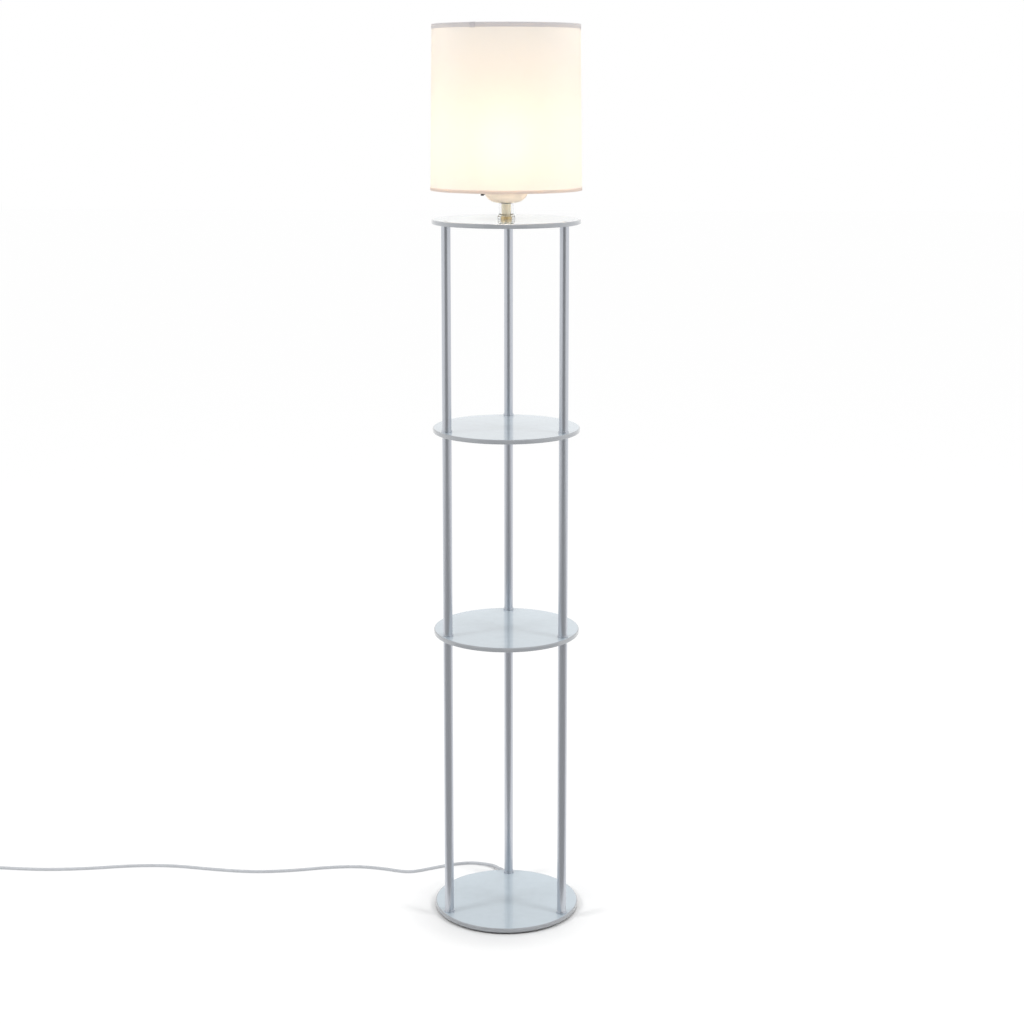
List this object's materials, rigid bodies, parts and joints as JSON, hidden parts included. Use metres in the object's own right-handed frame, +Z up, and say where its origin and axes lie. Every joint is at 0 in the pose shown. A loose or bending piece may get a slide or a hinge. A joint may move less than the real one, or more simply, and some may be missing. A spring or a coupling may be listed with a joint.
{
  "type": "shelf floor lamp",
  "caption": "Free-standing floor lamp with round open shelves on tube poles, a weighted round base and a lit drum shade on a short clear neck round a brass sleeve.",
  "frame": {"origin": "on the floor under the middle of the round base", "axes": "+Z up, -Y is the front that the picture shows, +X to the right seen from the front, the rear pole stands at +Y"},
  "size_m": [1.2427, 0.3111, 1.59],
  "materials": {
    "silver_lacquer": "gloss lacquer",
    "shelf_lacquer": "gloss silver lacquer on board",
    "satin_steel": "satin",
    "iron": "rough cast",
    "rubber": "matt",
    "dark_washer": "satin",
    "zinc_steel": "zinc plated",
    "wire_skin": "satin",
    "chrome": "polished",
    "black_plastic": "gloss",
    "frosted_cup": "frosted",
    "brass": "satin",
    "card": "matt card",
    "bulb_glass": "frosted",
    "clear_neck": "clear",
    "stem_glass": "clear",
    "cap_aluminium": "rolled",
    "solder": "satin",
    "shade_fabric": "fine plain weave",
    "shade_liner": "matt translucent",
    "shade_trim": "ribbed tape",
    "white_wire": "powder coat",
    "cord_skin": "satin",
    "gland_rubber": "satin"
  },
  "bodies": {
    "stand": {"base_cover": "silver_lacquer", "base_feet": "rubber", "base_nipples": "zinc_steel", "base_weight": "iron", "coil_tie": "black_plastic", "contact_strip": "brass", "cord_coil": "cord_skin", "cord_gland": "gland_rubber", "cord_run": "cord_skin", "cup": "frosted_cup", "foot_collars": "satin_steel", "holder_cap": "chrome", "holder_core": "black_plastic", "holder_liner": "card", "holder_shell": "chrome", "inner_wires": "wire_skin", "left_tube_lower": "satin_steel", "left_tube_middle": "satin_steel", "left_tube_upper": "satin_steel", "locknuts": "zinc_steel", "neck_column": "clear_neck", "neck_nipple": "zinc_steel", "neck_seat": "brass", "neck_sleeve": "brass", "neck_washer": "dark_washer", "plug_blades": "chrome", "plug_body": "cord_skin", "rear_tube_lower": "satin_steel", "rear_tube_middle": "satin_steel", "rear_tube_upper": "satin_steel", "right_tube_lower": "satin_steel", "right_tube_middle": "satin_steel", "right_tube_upper": "satin_steel", "screw_shell": "brass", "shelf_lower": "shelf_lacquer", "shelf_nipples": "zinc_steel", "shelf_top": "shelf_lacquer", "shelf_upper": "shelf_lacquer", "terminal_screws": "brass", "top_screws": "zinc_steel", "tube_inserts": "zinc_steel", "wire_cover": "silver_lacquer", "wire_cover_screws": "zinc_steel"},
    "knob": {"switch_knob": "black_plastic", "switch_spindle": "zinc_steel"},
    "bulb": {"bulb_glass": "bulb_glass", "bulb_tip": "solder", "bulb_insulator": "black_plastic", "bulb_cap": "cap_aluminium", "bulb_stem": "stem_glass", "bulb_supports": "solder", "bulb_filament": "solder"},
    "shade": {"shade_fabric": "shade_fabric", "shade_liner": "shade_liner", "shade_lower_ring": "white_wire", "shade_upper_ring": "white_wire", "shade_hub": "white_wire", "shade_arms": "white_wire", "shade_bottom_trim": "shade_trim", "shade_top_trim": "shade_trim"}
  },
  "joints": [
    {"name": "switch_turn", "type": "hinge", "parent": "stand", "child": "knob", "pos_m": [-0.0415, 0, 1.301], "axis": [-1, 0, 0], "continuous": true},
    {"name": "bulb_unscrew", "type": "hinge", "parent": "stand", "child": "bulb", "pos_m": [0, 0, 1.335], "axis": [0, 0, 1], "range_deg": [0, 1800]},
    {"name": "shade_lift", "type": "slide", "parent": "stand", "child": "shade", "axis": [0, 0, 1], "range_m": [0, 0.18]}
  ]
}
